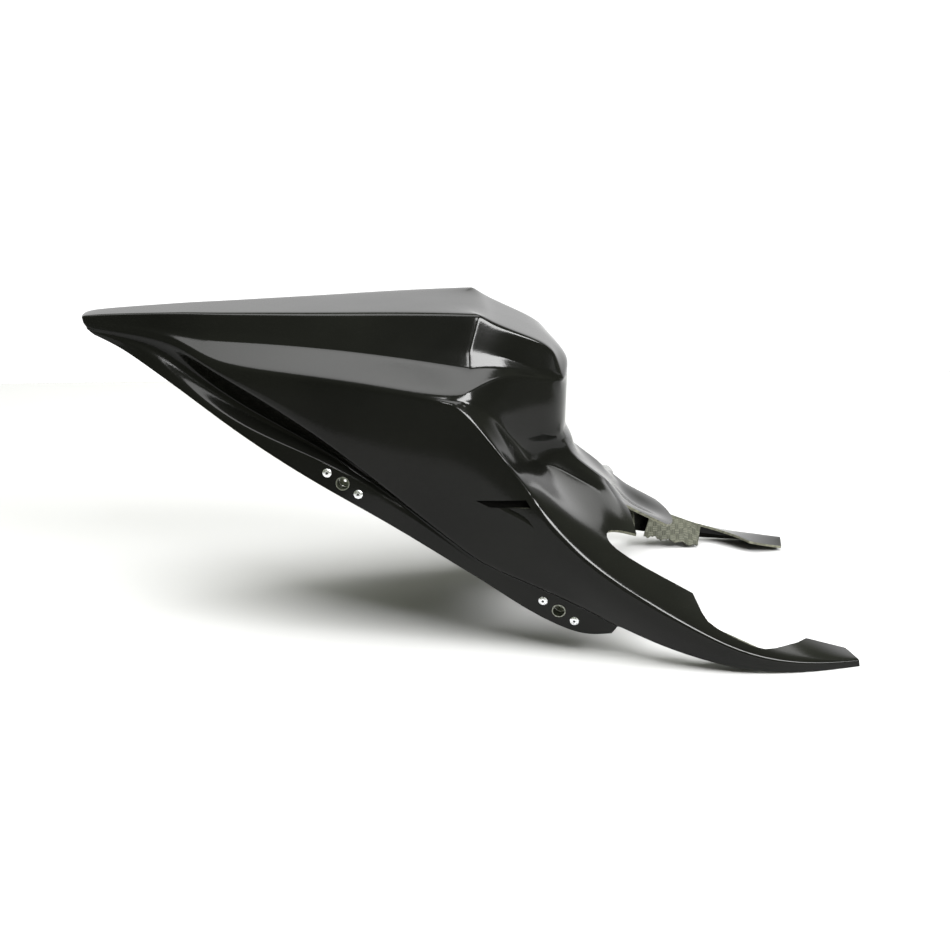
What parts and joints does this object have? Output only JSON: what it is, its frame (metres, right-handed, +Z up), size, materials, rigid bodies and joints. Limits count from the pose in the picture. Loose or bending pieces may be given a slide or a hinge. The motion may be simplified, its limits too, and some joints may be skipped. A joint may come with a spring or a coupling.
{
  "type": "race_seat_unit",
  "caption": "One-piece black glass-fibre race seat unit with a pointed tail, rider's back stop, side panels and two forward arms, with riveted quarter-turn receptacles",
  "frame": {"origin": "middle of the footprint, at the height of the lowest point of the arms", "axes": "+X forwards along the motorcycle, +Y to the rider's left, +Z up, with the tail deck level as in the picture"},
  "size_m": [0.7214, 0.363, 0.314],
  "materials": {
    "gelcoat_laminate": "black gel coat outside, raw woven glass fibre inside and on trimmed edges",
    "plated_steel": "zinc plated, lightly worn",
    "spring_wire": "drawn wire",
    "rivet_aluminium": "plain, domed"
  },
  "bodies": {
    "root": {"seat_shell": "gelcoat_laminate", "receptacle_rear_right": "plated_steel", "receptacle_rear_left": "plated_steel", "receptacle_front_right": "plated_steel", "receptacle_front_left": "plated_steel", "spring_rear_right": "spring_wire", "spring_rear_left": "spring_wire", "spring_front_right": "spring_wire", "spring_front_left": "spring_wire", "rivets": "rivet_aluminium"}
  },
  "joints": []
}
